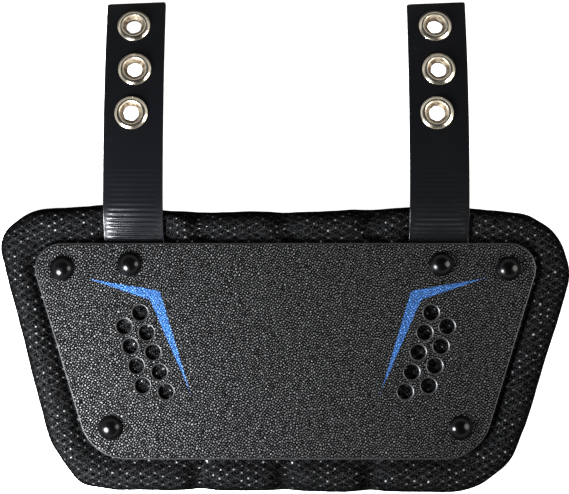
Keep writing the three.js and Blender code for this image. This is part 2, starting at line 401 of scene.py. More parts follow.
def addFloor():
    v = named(studioValues)
    half = v.floorHalf
    corners = [(-half, -half, 0), (half, -half, 0), (half, half, 0), (-half, half, 0)]
    floor = meshPiece("floor", corners, [(0, 1, 2, 3)])
    paper, _, _ = newMaterial(
        "floorPaper", Roughness=v.floorRough, Base_Color=v.floorTone,
        Emission_Color=v.floorLight, Emission_Strength=v.floorGlow)
    floor.data.materials.append(paper)
    floor.visible_diffuse = False  # the part is lit as if it were cut out on white paper
    floor.visible_glossy = False


def makeStudio():
    bpy.context.scene.view_settings.view_transform = "Standard"
    addCamera()
    for name, values in studioValues["lamps"].items():
        addLamp(name, values)
    addSky()
    addFloor()
    print("stage: camera, lamps and floor are in place")


# effects that several finishes share

grainValues = {
    "bendScale": 0.2, "bend": 1.8, "turn": 0.6, "randomness": 0.8,
    "groove": (0.38, 0.14),  # where a groove starts and where it is full, as a share of the pitch
    "shoulder": 0.34, "tilt": 0.06, "domeFall": -1.2,
    "stand": (0.88, 0.12),  # the lowest pebble, and how much the highest adds
}


def makePebbleGrain():
    v = named(grainValues)
    lowest, spreadOfHeights = v.stand
    tree, given, result = newGroup(
        "pebbleGrain", {"Place": None, "Pitch": 1.5, "Groove": v.shoulder, "Tilt": v.tilt},
        {"Height": 0.0, "Groove Mask": 0.0})
    place = scaled(given["Place"], 1 / mm)
    bent = bentPlace(place, v.bendScale, 1.0, v.bend)
    place = addNode("VectorRotate", {"Vector": bent, "Angle": v.turn}, rotation_type="Z_AXIS")[0]
    size = maths("DIVIDE", 1.0, given["Pitch"])
    lattice = {"Vector": place, "Scale": size, "Randomness": v.randomness}
    cells = addNode("TexVoronoi", lattice, voronoi_dimensions="2D")
    edges = addNode("TexVoronoi", lattice, voronoi_dimensions="2D", feature="DISTANCE_TO_EDGE")
    shoulder = mapped(edges["Distance"], 0.0, given["Groove"])
    dome = times(cells["Distance"], cells["Distance"])
    rise = times(shoulder, timesPlus(dome, v.domeFall, 1.0))
    # every pebble leans its own way and stands a little higher or lower
    lean = vectorMaths("SUBTRACT", cells["Color"], (0.5, 0.5, 0.5))
    offset = vectorMaths("SUBTRACT", place, cells["Position"])
    tilt = times(vectorMaths("DOT_PRODUCT", lean, offset), given["Tilt"])
    chance = splitColour(cells["Color"])
    stand = timesPlus(chance["Blue"], spreadOfHeights, lowest)
    feed(result["Height"], times(rise, plus(stand, tilt)))
    feed(result["Groove Mask"], mapped(edges["Distance"], *v.groove))
    return tree


wearValues = {  # scales of the noises, and where each mark starts and is full
    "smearScale": 28.0, "smear": (0.35, 0.7),
    "speckScale": 900.0, "speck": (0.66, 0.76),
    "streakScale": (90.0, 1400.0, 300.0), "streak": (0.62, 0.74), "streakArea": (0.5, 0.66),
    "scuffRough": 0.25,
    "grey": (0.5, 0.5, 0.5, 1),
}


def makeHandlingWear():
    v = named(wearValues)
    tree, given, result = newGroup(
        "handlingWear",
        {"Place": None, "Colour": v.grey, "Rough Low": 0.3, "Rough High": 0.5,
         "Scuff Amount": 0.2, "Dust Amount": 0.0, "Dust Tone": v.grey},
        {"Colour": v.grey, "Roughness": 0.5, "Scuff": 0.0})
    smears = noiseAt(given["Place"], v.smearScale, 4.0, 0.6)[0]
    specks = noiseAt(given["Place"], v.speckScale)[0]
    streakPlace = vectorMaths("MULTIPLY", given["Place"], v.streakScale)
    streaks = noiseAt(streakPlace, 1.0)[0]
    smear = mapped(smears, *v.smear)
    scuff = times(mapped(streaks, *v.streak), mapped(smears, *v.streakArea))
    scuff = times(scuff, given["Scuff Amount"])
    rough = timesPlus(smear, minus(given["Rough High"], given["Rough Low"]), given["Rough Low"])
    dust = times(mapped(specks, *v.speck), smear)
    dust = times(dust, given["Dust Amount"])
    feed(result["Colour"], blended(dust, given["Colour"], given["Dust Tone"]))
    feed(result["Roughness"], timesPlus(scuff, v.scuffRough, rough))
    feed(result["Scuff"], scuff)
    return tree


def wornBy(handlingWear, place, colour, values):
    low, high = values.rough
    amount, tone = values.dust
    return placeGroup(handlingWear, **{
        "Place": place, "Colour": colour, "Rough Low": low, "Rough High": high,
        "Scuff Amount": values.scuff, "Dust Amount": amount, "Dust Tone": tone})


def makeWavySkin():
    tree, given, result = newGroup(
        "wavySkin",
        {"Place": None, "Fine Scale": 700.0, "Wave Scale": 240.0, "Wave Detail": 1.0, "Wave Share": 6.0},
        {"Height": 0.0})
    fine = noiseAt(given["Place"], given["Fine Scale"])[0]
    waves = noiseAt(given["Place"], given["Wave Scale"], given["Wave Detail"])[0]
    feed(result["Height"], timesPlus(waves, given["Wave Share"], fine))
    return tree


knitValues = {
    "across": 3.83, "along": 2.27, "lean": 0.25,
    "bendScale": 0.22, "bend": 2.2,
    "stray": (1.3, 1.0),  # how far the knots sit off the lattice, across and along
    "knot": (0.8, 0.2), "strand": (0.2, 0.1),  # where each starts and is full, from its middle
    "stitch": (5.0, 3.0), "stitchDepth": (0.45, 0.55),
    "fibreScale": 1.5, "fibre": (0.5, 0.7), "patchScale": 0.35, "patch": (0.35, 0.65),
    "shinePower": 1.1, "patchShine": (0.8, 0.55), "knotShare": (0.85, 0.15),
    "strandShare": (0.2, 0.13), "fibreShare": 0.48,
    "domeRise": (0.3, 0.35), "strandRise": 0.3, "holeDepth": -0.3, "fibreRise": 0.4,
}


def makeSpacerKnit():
    v = named(knitValues)
    tree, given, result = newGroup(
        "spacerKnit", {"Place": None, "Across": v.across, "Along": v.along, "Lean": v.lean},
        {"Height": 0.0, "Hole": 0.0, "Knot": 0.0, "Knot Glint": 0.0})
    place = scaled(given["Place"], 1 / mm)
    bent = splitPlace(bentPlace(place, v.bendScale, 2.0, v.bend))
    across = maths("DIVIDE", bent["X"], given["Across"])
    along = maths("DIVIDE", bent["Y"], given["Along"])
    first = times(plus(across, along), 0.5)
    second = times(minus(across, along), 0.5)
    nearA = maths("ROUND", first)
    nearB = maths("ROUND", second)
    # how far each lattice coordinate is from its nearest knot, from -0.5 to 0.5
    offA = minus(first, nearA)
    offB = minus(second, nearB)
    chance = addNode("TexWhiteNoise", {"Vector": joinPlace(nearA, nearB)})
    tones = splitColour(chance["Color"])
    # every knot sits a little off the lattice
    strayX = minus(tones["Red"], 0.5)
    strayY = minus(tones["Green"], 0.5)
    knotX = timesPlus(strayX, v.stray[0], times(plus(offA, offB), given["Across"]))
    knotY = timesPlus(strayY, v.stray[1], times(minus(offA, offB), given["Along"]))
    reach = maths("SQRT", plus(times(knotX, knotX), times(knotY, knotY)))
    knot = mapped(reach, *v.knot)
    strands = []
    for off, run in ((offA, second), (offB, first)):
        far = maths("ABSOLUTE", off)
        slant, rate = v.stitch  # stitches meet in a V
        loop = timesPlus(far, slant, times(run, rate))
        loop = maths("SINE", times(loop, 2 * math.pi))
        body = mapped(far, *v.strand)
        strands.append(times(body, timesPlus(loop, *v.stitchDepth)))
    strand = maths("MAXIMUM", *strands)
    fibre = noiseAt(place, v.fibreScale)[0]
    patches = mapped(noiseAt(place, v.patchScale, 1.0)[0], *v.patch)
    shine = maths("POWER", chance["Value"], v.shinePower)
    shine = times(shine, timesPlus(patches, *v.patchShine))
    shown = times(knot, timesPlus(shine, *v.knotShare))
    partly = times(strand, timesPlus(patches, *v.strandShare))
    shown = maths("MAXIMUM", shown, partly)  # most of a strand lies in the shade
    loose = times(mapped(fibre, *v.fibre), v.fibreShare)  # loose fibre in the holes
    hole = minus(1.0, maths("MAXIMUM", shown, loose))
    lean = times(plus(times(strayX, knotX), times(strayY, knotY)), given["Lean"])
    dome = times(knot, timesPlus(tones["Blue"], *v.domeRise))
    height = timesPlus(strand, v.strandRise, plus(dome, lean))
    height = timesPlus(hole, v.holeDepth, height)
    feed(result["Height"], timesPlus(fibre, v.fibreRise, height))
    feed(result["Hole"], hole)
    feed(result["Knot"], knot)
    # the knots' painted glint, from their random shine
    feed(result["Knot Glint"], shine)
    return tree


# plate

plateValues = {
    "top": 1.5, "bottom": -114.2, "topHalf": 138.6, "bottomHalf": 103.8,
    "roundTop": 14, "roundBottom": 26,
    "under": 17.3, "thickness": 3, "edge": 1.0, "edgeSteps": 3, "sharp": 40,
    "ventRadius": 4, "ventSides": 48, "rivetHoleSides": 24,
    "ventRows": [  # count, first place across and below the top, step across and below
        (5, 77.7, 37.3, -3.46, 10.54),
        (4, 86.2, 44.6, -3.29, 10.54),
    ],
    # across and below the top: tip, outer elbow, lower tip and inner elbow
    "stripe": [(106.6, 18.8), (67.0, 25.4), (50.5, 80.5), (72.4, 30.4)],
    "stripeRound": 2.5, "stripeBreak": (0.3, -0.2), "stripeEdge": (-0.12, 0.15), "stripeMetal": 0.4,
    "stripeColour": (0.022, 0.08, 0.222, 1),
    # painted shade: the ink's darker copy for its grooves
    "stripeGroove": (0.012, 0.062, 0.21, 1), "stripeGrooveShare": 0.35,
    "colour": (0.006, 0.0062, 0.0068, 1),
    # painted shade: the grooves' darker colour and metallic stand in for the shade that falls in them
    "grooveColour": (0.0006, 0.0006, 0.0007, 1), "grooveMetal": 0.97,
    "grainPitch": 1.36, "grainDepth": 0.38, "grainFrom": (0.9, 0.99),
    "rough": (0.52, 0.58), "edgeRough": 0.45, "scuff": 0.5, "dust": (0.015, (0.5, 0.5, 0.5, 1)),
}


def plateOutline():
    v = named(plateValues)
    return roundedOutline([
        (v.topHalf, v.top, v.roundTop),
        (-v.topHalf, v.top, v.roundTop),
        (-v.bottomHalf, v.bottom, v.roundBottom),
        (v.bottomHalf, v.bottom, v.roundBottom),
    ])


def ventPlaces():
    for sign in sideSigns.values():
        for count, across, below, stepAcross, stepBelow in plateValues["ventRows"]:
            for i in range(count):
                yield sign * (across + stepAcross * i), plateValues["top"] - below - stepBelow * i


def addLoop(curve, points):
    spline = curve.splines.new("POLY")
    spline.points.add(len(points) - 1)
    for knot, (x, y) in zip(spline.points, points):
        knot.co = (x * mm, y * mm, 0, 1)
    spline.use_cyclic_u = True


def makePlate(material):
    v = named(plateValues)
    curve = bpy.data.curves.new("plateDrawing", "CURVE")
    curve.dimensions = "2D"
    curve.fill_mode = "BOTH"
    curve.extrude = (v.thickness / 2 - v.edge) * mm
    curve.bevel_depth = v.edge * mm
    curve.bevel_resolution = v.edgeSteps
    curve.offset = -v.edge * mm
    addLoop(curve, plateOutline())
    for x, y in ventPlaces():
        addLoop(curve, circlePoints(x, y, v.ventRadius, v.ventSides))
    hole = rivetValues["shank"] + seatGap
    for sign in sideSigns.values():
        for across, y, _ in rivetValues["rows"].values():
            addLoop(curve, circlePoints(sign * across, y, hole, v.rivetHoleSides))
    drawing = linkPiece("plateDrawing", curve)
    mesh = evaluatedMesh(drawing)
    bpy.data.objects.remove(drawing)
    bpy.data.curves.remove(curve)
    mesh.name = "plate"
    mesh.transform(Matrix.Translation((0, 0, (v.under + v.thickness / 2) * mm)))
    turnOutward(mesh)
    plate = linkPiece("plateShell", mesh)
    smoothShade(plate, v.sharp)
    weighted = plate.modifiers.new("evenNormals", "WEIGHTED_NORMAL")
    weighted.weight = 100
    weighted.keep_sharp = True
    dressPiece(plate, material, ["plate"])
    print("stage: plate", len(mesh.polygons), "faces")


def stripeMask(place, rise):
    v = named(plateValues)
    here = splitPlace(scaled(place, 1 / mm))
    mirrored = joinPlace(maths("ABSOLUTE", here["X"]), here["Y"])
    corners = [np.array((x, v.top - below)) for x, below in v.stripe]
    sides = []  # distance to the left of the way from each corner to the next
    for start, end in zip(corners, corners[1:] + corners[:1]):
        normal = unit(np.array((start[1] - end[1], end[0] - start[0])))
        flat = vectorMaths("DOT_PRODUCT", mirrored, (*normal, 0.0))
        sides.append(minus(flat, float(normal @ start)))
    upper, inner, lower, outer = sides
    outside = maths("SMOOTH_MIN", upper, inner, v.stripeRound)
    depth = maths("MINIMUM", outside, maths("MAXIMUM", lower, outer))
    # the print breaks up over the grooves near its edge
    depth = plus(depth, timesPlus(rise, *v.stripeBreak))
    return mapped(depth, *v.stripeEdge)


def makePlatePlastic(pebbleGrain, handlingWear):
    v = named(plateValues)
    material, tree, shader = newMaterial("platePlastic", IOR=1.5, Specular_IOR_Level=0.98)
    place = objectPlace(tree)
    grain = placeGroup(pebbleGrain, Place=place, Pitch=v.grainPitch)
    face = mapped(facingUp(tree), *v.grainFrom)  # the rounded edges are smooth
    groove = times(grain["Groove Mask"], face)
    # painted shade: darker colour in the grooves
    plain = blended(groove, v.colour, v.grooveColour)
    # painted shade: darker ink in the grooves
    inkedShade = times(groove, v.stripeGrooveShare)
    inked = blended(inkedShade, v.stripeColour, v.stripeGroove)
    stripe = stripeMask(place, grain["Height"])
    wear = wornBy(handlingWear, place, blended(stripe, plain, inked), v)
    feed(shader["Base Color"], wear["Colour"])
    rough = mapped(face, 0.0, 1.0, v.edgeRough, wear["Roughness"], soft=False)
    feed(shader["Roughness"], rough)
    # painted shade: the grooves are made black by metallic over a near-black colour, and the ink tints its
    # gloss
    shadeMetallic = times(groove, v.grooveMetal)
    feed(shader["Metallic"], maths("MAXIMUM", shadeMetallic, times(stripe, v.stripeMetal)))
    height = times(grain["Height"], face)
    feed(shader["Normal"], bumped(height, 1.0, v.grainDepth))
    return material


# straps

strapValues = {
    "width": 31.75, "thickness": 2.2, "buried": 21, "flat": 20.5,
    "across": {"left": -81.2, "right": 82.1},
    "edgeRound": 0.25, "faceSteps": (0.35, 0.8, 1.3, 2, 2.8, 3.6), "faceMargin": 5, "sharp": 38,
    "tip": 132.05, "skew": 0.04, "skewLength": 11, "tipRound": 0.9,
    "crest": (25.3, 22), "hollowShare": 0.3, "droopRadius": 288,
    "ribCount": 16, "ribFirst": 1.4, "ribPitch": 2.59, "ribHeight": 0.42, "ribMargin": 0.6,
    "ribEnd": 6, "ribFade": 0.75, "ribFadeFrom": 2, "ribFadeTo": 10,
    "crown": 0.4, "crownLift": 0.7, "crownRun": (21, 27, 31, 50),  # starts, full, fades, gone
    "stationStep": 2.4, "ribSteps": 12, "tipSteps": 6, "undersideSteps": 240,
    "cornerSteps": 5, "middleSteps": 7, "backSteps": 9,
    "punchSides": 48, "punchDepth": {"grommet": 3, "rivet": 4},
    "colour": (0.0038, 0.004, 0.0047, 1),
    "rough": (0.18, 0.24), "scuff": 0.5, "dust": (0.02, (0.5, 0.5, 0.5, 1)),
    "scuffColour": (0.05, 0.05, 0.055, 1), "scuffShare": 0.2,
    "skin": {"Fine Scale": 1500.0, "Wave Scale": 60.0, "Wave Detail": 2.0}, "skinDepth": 0.02,
}


def strapStretches():
    v = named(strapValues)
    startY = plateValues["top"] - v.buried
    startZ = plateValues["under"] - seatGap - v.thickness / 2
    crestY, crestZ = v.crest
    run = crestY - startY - v.flat
    climb = 2 * math.atan((crestZ - startZ) / run)
    bends = run / math.sin(climb)
    droop = math.asin((v.tip - crestY) / v.droopRadius)
    stretches = [  # length and turn of each
        (v.flat, 0),
        (bends * v.hollowShare * climb, climb),
        (bends * (1 - v.hollowShare) * climb, -climb),
        (v.droopRadius * droop, -droop),
    ]
    return startY, startZ, stretches


def strapAt(along):
    y, z, stretches = strapStretches()
    heading = 0
    for length, turn in stretches:
        used = min(along, length)
        bend = turn * used / length
        chord = used if turn == 0 else 2 * math.sin(bend / 2) * length / turn
        y += chord * math.cos(heading + bend / 2)
        z += chord * math.sin(heading + bend / 2)
        heading += bend
        along -= used
        if along <= 0:
            break
    return y, z, heading


strapLength = sum(length for length, _ in strapStretches()[2])


def strapUnderside(y):
    v = named(strapValues)
    stations = np.array([strapAt(along) for along in np.linspace(0, strapLength, v.undersideSteps)])
    middle = np.interp(y, stations[:, 0], stations[:, 1])
    slope = np.interp(y, stations[:, 0], stations[:, 2])
    return middle - v.thickness / 2 / np.cos(slope)


def strapStations():
    v = named(strapValues)
    ribStart = v.buried + v.ribFirst - v.ribPitch / 2
    ribEnd = ribStart + v.ribCount * v.ribPitch
    before = np.linspace(0, ribStart, math.ceil(ribStart / v.stationStep), endpoint=False)
    ribs = np.linspace(ribStart, ribEnd, v.ribCount * v.ribSteps, endpoint=False)
    tipStart = strapLength - v.tipRound
    after = np.linspace(ribEnd, tipStart, math.ceil((tipStart - ribEnd) / v.stationStep), endpoint=False)
    tip = tipStart + v.tipRound * np.sin(np.linspace(0, math.pi / 2, v.tipSteps))
    return np.concatenate([before, ribs, after, tip])


def ribRise(along, across):
    v = named(strapValues)
    place = (along - v.buried - v.ribFirst) / v.ribPitch
    if not -0.5 <= place < v.ribCount - 0.5:
        return 0
    rise = 0.5 + 0.5 * math.cos(2 * math.pi * (place - round(place)))
    ends = softStep(0, v.ribEnd, v.width / 2 - v.ribMargin - abs(across))
    fade = 1 - v.ribFade * softStep(v.ribFadeFrom, v.ribFadeTo, place)  # fainter up the strap
    return v.ribHeight * rise * ends * fade


def crownDrop(along, across):
    # the strap bows across its width where it comes out from under the plate
    v = named(strapValues)
    start, full, fading, gone = v.crownRun
    bow = softStep(start, full, along) * (1 - softStep(fading, gone, along))
    return v.crown * bow * (0.5 - v.crownLift - 0.5 * math.cos(2 * math.pi * across / v.width))


def strapSection(half, edge):
    # round the strap's section, from the underside's left to its right and back over the face
    v = named(strapValues)
    deep = v.thickness / 2
    inside = half - edge

    def corner(acrossSign, heightSign, quarter):
        angles = (quarter + np.linspace(0, 1, v.cornerSteps)) * math.pi / 2
        across = acrossSign * inside + edge * np.cos(angles)
        height = heightSign * (deep - edge) + edge * np.sin(angles)
        return list(zip(across, height))

    nearEdge = [inside - step for step in v.faceSteps]
    middle = np.linspace(half - v.faceMargin, v.faceMargin - half, v.middleSteps)
    ring = [(x, -deep) for x in np.linspace(-inside, inside, v.backSteps)]
    ring += corner(1, -1, -1)[1:] + corner(1, 1, 0)
    ring += [(x, deep) for x in (*nearEdge, *middle, *(-x for x in nearEdge[::-1]))]
    ring += corner(-1, 1, 1) + corner(-1, -1, 2)[:-1]
    return ring


def punchPiece(radius, depth, x, y, z, tilt):
    profile = [(0, -depth), (radius, -depth), (radius, depth), (0, depth)]
    punch = turnedPiece("punch", profile, strapValues["punchSides"])
    punch.data.transform(seatMatrix(x, y, z, tilt))
    return punch


def strapLoft(side):
    v = named(strapValues)
    points = []
    stations = strapStations()
    for along in stations:
        y, z, heading = strapAt(along)
        toTip = strapLength - along
        bite = max(0, v.tipRound - toTip)
        corner = v.tipRound - math.sqrt(v.tipRound ** 2 - bite ** 2)
        tipLean = v.skew * np.clip(1 - toTip / v.skewLength, 0, 1)
        for across, height in strapSection(v.width / 2 - corner, v.edgeRound):
            if height > v.thickness / 2 - tiny:
                height += ribRise(along, across)
            height -= crownDrop(along, across)
            points.append((
                v.across[side] + across,
                y - math.sin(heading) * height + across * tipLean,
                z + math.cos(heading) * height,
            ))
    ringSize = len(points) // len(stations)
    rings = [range(start, start + ringSize) for start in range(0, len(points), ringSize)]
    faces = []
    for low, high in zip(rings, rings[1:]):
        faces += bandFaces(high, low)
    faces += [tuple(rings[0]), tuple(reversed(rings[-1]))]
    return points, faces


def makeStrap(side, material):
    strap = meshPiece("strapBand_" + side, *strapLoft(side))
    turnOutward(strap.data)
    depth = strapValues["punchDepth"]
    barrel, shank = grommetValues["barrel"] + seatGap, rivetValues["shank"] + seatGap
    punches = []
    for name in grommetValues["rows"]:
        punches.append(punchPiece(barrel, depth["grommet"], *grommetPlace(side, name)))
    across, y, _ = rivetValues["rows"]["strap"]
    x, z = sideSigns[side] * across, strapAt(0)[1]
    punches.append(punchPiece(shank, depth["rivet"], x, y, z, 0))
    for punch in punches:
        cut = strap.modifiers.new("hole", "BOOLEAN")
        cut.object = punch
        cut.solver = "EXACT"
    bakeModifiers(strap)
    for punch in punches:
        bpy.data.objects.remove(punch)
    smoothShade(strap, strapValues["sharp"])
    dressPiece(strap, material, ["strap_" + side])
    print("stage: strap", side, len(strap.data.polygons), "faces")


def makeStrapVinyl(handlingWear, wavySkin):
    v = named(strapValues)
    material, tree, shader = newMaterial("strapVinyl", IOR=1.5, Specular_IOR_Level=0.38)
    place = objectPlace(tree)
    wear = wornBy(handlingWear, place, v.colour, v)
    scuffed = times(wear["Scuff"], v.scuffShare)
    feed(shader["Base Color"], blended(scuffed, wear["Colour"], v.scuffColour))
    feed(shader["Roughness"], wear["Roughness"])
    skin = placeGroup(wavySkin, Place=place, **v.skin)
    feed(shader["Normal"], bumped(skin["Height"], 1.0, v.skinDepth))
    return material


# grommets

grommetValues = {
    "barrel": 5, "sides": 88, "profileSteps": 3, "sharp": 60,
    "rows": {"tip": (14.2, -1), "middle": (39.5, 0.2), "low": (63.8, -1.2)},  # from the tip, and across
    "flange": [  # radius, height over the strap's face
        (5.0, 0.02), (7.0, 0.0), (8.55, 0.0), (8.86, 0.1), (8.92, 0.36), (8.75, 0.62), (8.42, 0.86),
        (8.02, 1.17), (7.45, 1.48), (6.95, 1.57), (6.42, 1.46), (5.85, 1.1), (5.2, 0.55), (4.55, 0.0),
        (4.1, -0.5), (4.02, -0.9), (4.15, -1.6), (4.4, -2.6),
    ],
    "washer": [  # radius, depth under the strap's back
        (4.62, 0.3), (4.75, 0.75), (5.2, 1.0), (6.5, 1.0), (7.9, 0.98),
        (8.44, 0.72), (8.6, 0.36), (8.5, 0.04), (7.0, 0.0), (5.05, 0.0),
    ],
    "seeds": {"left": 0, "right": 40},
    "dent": 0.12, "dentSize": (1.3, 0.2), "petals": 6, "petalShare": 0.9,
    "petalRadius": (7.0, 4.6), "petalHeight": (-2.5, 0.5),
    "foot": 8.8, "footHalf": 0.35, "footHeight": (1.9, 1.5), "throat": (6.8, 5.3),  # where tarnish sits
    "colour": (0.78, 0.69, 0.54, 1),
    "tarnish": (0.13, 0.092, 0.057, 1), "tarnishRough": 0.52,
    "blotchScale": 420.0, "blotch": (0.35, 0.65), "blotchShare": (0.35, 0.65),
    "wearScale": 4.0, "rough": (0.16, 0.3), "scuff": 0.2, "dust": (0.0, (0.5, 0.5, 0.5, 1)),
    "skin": {"Fine Scale": 700.0, "Wave Scale": 240.0, "Wave Detail": 1.0}, "skinDepth": 0.05,
}


def grommetPlace(side, name):
    fromTip, across = grommetValues["rows"][name]
    y, z, heading = strapAt(strapLength - fromTip)
    return strapValues["across"][side] + across, y, z, heading


def makeGrommet(side, name, material):
    v = named(grommetValues)
    seat = strapValues["thickness"] / 2 + seatGap
    rows = [(radius, -seat - depth) for radius, depth in v.washer]
    rows += [(radius, seat + height) for radius, height in v.flange]
    profile = splineRows(rows, v.profileSteps, closed=True)
    seed = v.rows[name][0] + v.seeds[side]

    def dent(angle, radius, height):
        around, upward = v.dentSize
        place = Vector((math.cos(angle) * around + seed, math.sin(angle) * around, height * upward))
        petals = math.cos(v.petals * angle + seed)
        petals *= softStep(*v.petalRadius, radius) * softStep(*v.petalHeight, height)
        return v.dent * (noise.noise(place) + v.petalShare * petals)

    label = side + "_" + name
    grommet = turnedPiece("eyelet_" + label, profile, v.sides, closed=True, dent=dent)
    spin = Matrix.Rotation(seed, 4, "Z")
    grommet.data.transform(seatMatrix(*grommetPlace(side, name)) @ spin)
    radius, height = profile.T
    foot = bellCurve(radius - v.foot, v.footHalf) * softStep(*v.footHeight, height)
    marks = np.maximum(foot, softStep(*v.throat, radius))
    tarnish = grommet.data.attributes.new("tarnish", "FLOAT", "POINT")
    tarnish.data.foreach_set("value", np.repeat(marks, v.sides).astype(np.float32))
    smoothShade(grommet, v.sharp)
    dressPiece(grommet, material, ["grommet_" + label])


def makeGrommetNickel(handlingWear, wavySkin):
    v = named(grommetValues)
    material, tree, shader = newMaterial("grommetNickel", Metallic=1.0)
    place = objectPlace(tree)
    mark = tree.nodes.new("ShaderNodeAttribute")
    mark.attribute_name = "tarnish"
    marked = mark.outputs["Fac"]
    blotch = mapped(noiseAt(place, v.blotchScale, 3.0)[0], *v.blotch)
    tarnish = times(marked, timesPlus(blotch, *v.blotchShare))
    colour = blended(tarnish, v.colour, v.tarnish)
    wear = wornBy(handlingWear, scaled(place, v.wearScale), colour, v)
    feed(shader["Base Color"], wear["Colour"])
    feed(shader["Roughness"], timesPlus(marked, v.tarnishRough, wear["Roughness"]))
    skin = placeGroup(wavySkin, Place=place, **v.skin)
    feed(shader["Normal"], bumped(skin["Height"], 0.6, v.skinDepth))
    return material


# rivets

rivetValues = {
    "head": 6.6, "dome": 4.4, "shank": 2.2, "tail": 4, "tailThickness": 1, "layer": 2,
    "tailRound": 0.2, "rimInset": 0.25, "rimRise": 0.12, "rimEase": 0.02, "domeStart": 0.97,
    "domeSteps": 18, "sides": 64, "sharp": 50,
    "rows": {  # across, y and whether it goes through a strap
        "corner": (119.2, -12.1, False),
        "strap": (83.2, -9.8, True),
        "bottom": (93.4, -97.1, False),
    },
    "colour": (0.0008, 0.0008, 0.0009, 1),
    "wearScale": 3.0, "rough": (0.16, 0.28), "scuff": 0.2, "dust": (0.008, (0.4, 0.4, 0.4, 1)),
    "peelScale": 520.0, "peelDepth": 0.03,
}


def makeRivet(side, name, material):
    v = named(rivetValues)
    across, y, throughStrap = v.rows[name]
    seat = plateValues["under"] + plateValues["thickness"] + seatGap
    held = plateValues["under"] - seatGap
    if throughStrap:
        held -= strapValues["thickness"] + seatGap
    grip = held - v.layer
    low = grip - v.tailThickness
    head, shank, tail, edge = v.head, v.shank, v.tail, v.tailRound
    ball = (head ** 2 + v.dome ** 2) / (2 * v.dome)
    rim = math.asin(head / ball)
    profile = [
        (0, low), (tail - edge, low), (tail, low + edge), (tail, grip - edge), (tail - edge, grip),
        (shank, grip), (shank, seat), (head - v.rimInset, seat),
        (head - v.rimEase, seat + v.rimRise),
    ]
    for angle in np.linspace(rim * v.domeStart, 0, v.domeSteps):
        profile.append((ball * math.sin(angle), seat + v.dome - ball * (1 - math.cos(angle))))
    label = side + "_" + name
    rivet = turnedPiece("stud_" + label, profile, v.sides)
    rivet.data.transform(seatMatrix(sideSigns[side] * across, y, 0, 0))
    smoothShade(rivet, v.sharp)
    dressPiece(rivet, material, ["rivet_" + label])


def makeRivetEnamel(handlingWear):
    v = named(rivetValues)
    material, tree, shader = newMaterial("rivetEnamel", IOR=1.5, Specular_IOR_Level=0.2)
    place = objectPlace(tree)
    wear = wornBy(handlingWear, scaled(place, v.wearScale), v.colour, v)
    feed(shader["Base Color"], wear["Colour"])
    feed(shader["Roughness"], wear["Roughness"])
    peel = noiseAt(place, v.peelScale, 1.0)[0]
    feed(shader["Normal"], bumped(peel, 0.5, v.peelDepth))
    return material


# pad

padValues = {
    "seat": 17, "stations": 280, "acrossSteps": 96, "sectionSteps": 3, "plateStations": 4000,
    "topRight": (152, 4), "cornerRing": 4,
    "pressSlope": 0.3,
    "corners": [  # x, y and rounding, anticlockwise
        (84, 21.5, 120), (14, 18.2, 400), (-62, 18.5, 60), (-88, 22.5, 50), (-137, 19.5, 24),
        (-155.7, 5.8, 17), (-126.6, -106.5, 20), (-110.5, -129, 11), (-90, -131.8, 60), (100, -133.2, 36),
        (121, -117.7, 30), (129, -98.7, 70), (154.1, -15.7, 22), (148.2, 6.3, 26), (131, 17.3, 20),
    ],
    "section": [  # share of the way from the outline to the plate, height, channel's share
        (0.3, 0, 0), (0.1, 2, 0.2), (0, 6.5, 0.5), (0, 12.5, 0.8), (0.08, 17, 1), (0.24, 20.2, 1),
        (0.46, 21.5, 1), (0.68, 20.2, 0.8), (0.86, 17.6, 0.3), (0.96, 16.5, 0), (1.04, 16.8, 0),
    ],
    "channels": (-46, 0, 46), "channelDepth": 3.2, "channelInset": 0.025, "channelHalf": 7.5,
    "backLoose": (0, 0.16), "seatLoose": (0.8, 0.93),  # shares of the section where the cloth comes free
    "sewnHalf": 2.6, "sewnMiddle": -55, "sewnBeyond": 52, "strapHold": 22, "strapHoldAbove": -3,
    "shrink": 0.1, "frames": 20, "cap": 2.2,
    "cloth": {
        "quality": 6, "mass": 0.25, "tension_stiffness": 12, "compression_stiffness": 12,
        "shear_stiffness": 6, "bending_stiffness": 0.4,
        "use_pressure": True, "uniform_pressure_force": 6, "vertex_group_mass": "held",
    },
    "creaseDepth": 3, "creaseHalf": 5, "creaseMiddle": -56, "creaseBeyond": 56, "creaseLeast": 0.08,
    "creaseFacing": (0.1, 0.7), "border": (0.6, 4), "underHeight": (0.7, 0.2), "underFacing": (-0.7, -0.95),
    "backDepth": 1.5, "backHalf": 3.2,
    "lumps": 0.4, "lumpScale": 0.055, "fineLumps": 0.4, "fineLumpScale": 0.16,
    "pressAbove": -20, "pressSlack": 0.3,
    "backShift": 0.6,  # metres between the back's cloth and the front's, spread flat
    "yarn": (0.008, 0.0085, 0.0102, 1),
    # painted glint: the knots' lighter colour stands in for their shine
    "knot": (0.17, 0.173, 0.18, 1),
    # painted shade: the near-black colour of the knit's holes
    "hollow": (0.001, 0.001, 0.0012, 1),
    # painted shade: the roll's sides get more holes, so darker knit
    "taut": (0.95, 0.45, 0.0, 0.8), "knitDepth": 0.45,
    "rough": (0.3, 0.38), "scuff": 0.2, "dust": (0.1, (0.4, 0.4, 0.42, 1)),
}


def toNearest(x, places):
    return np.min(np.abs(np.asarray(x)[..., None] - np.array(list(places))), axis=-1)


def toChannel(x):
    return toNearest(x, padValues["channels"])


def toStrap(x):
    return toNearest(x, strapValues["across"].values())


def pressedHeight(x, y):
    beside = np.maximum(0, toStrap(x) - strapValues["width"] / 2 - seatGap)
    underStrap = strapUnderside(y) - 3 * seatGap + beside * padValues["pressSlope"]
    return np.where(y > plateValues["top"] - strapValues["buried"] - 1, underStrap, farAbove)


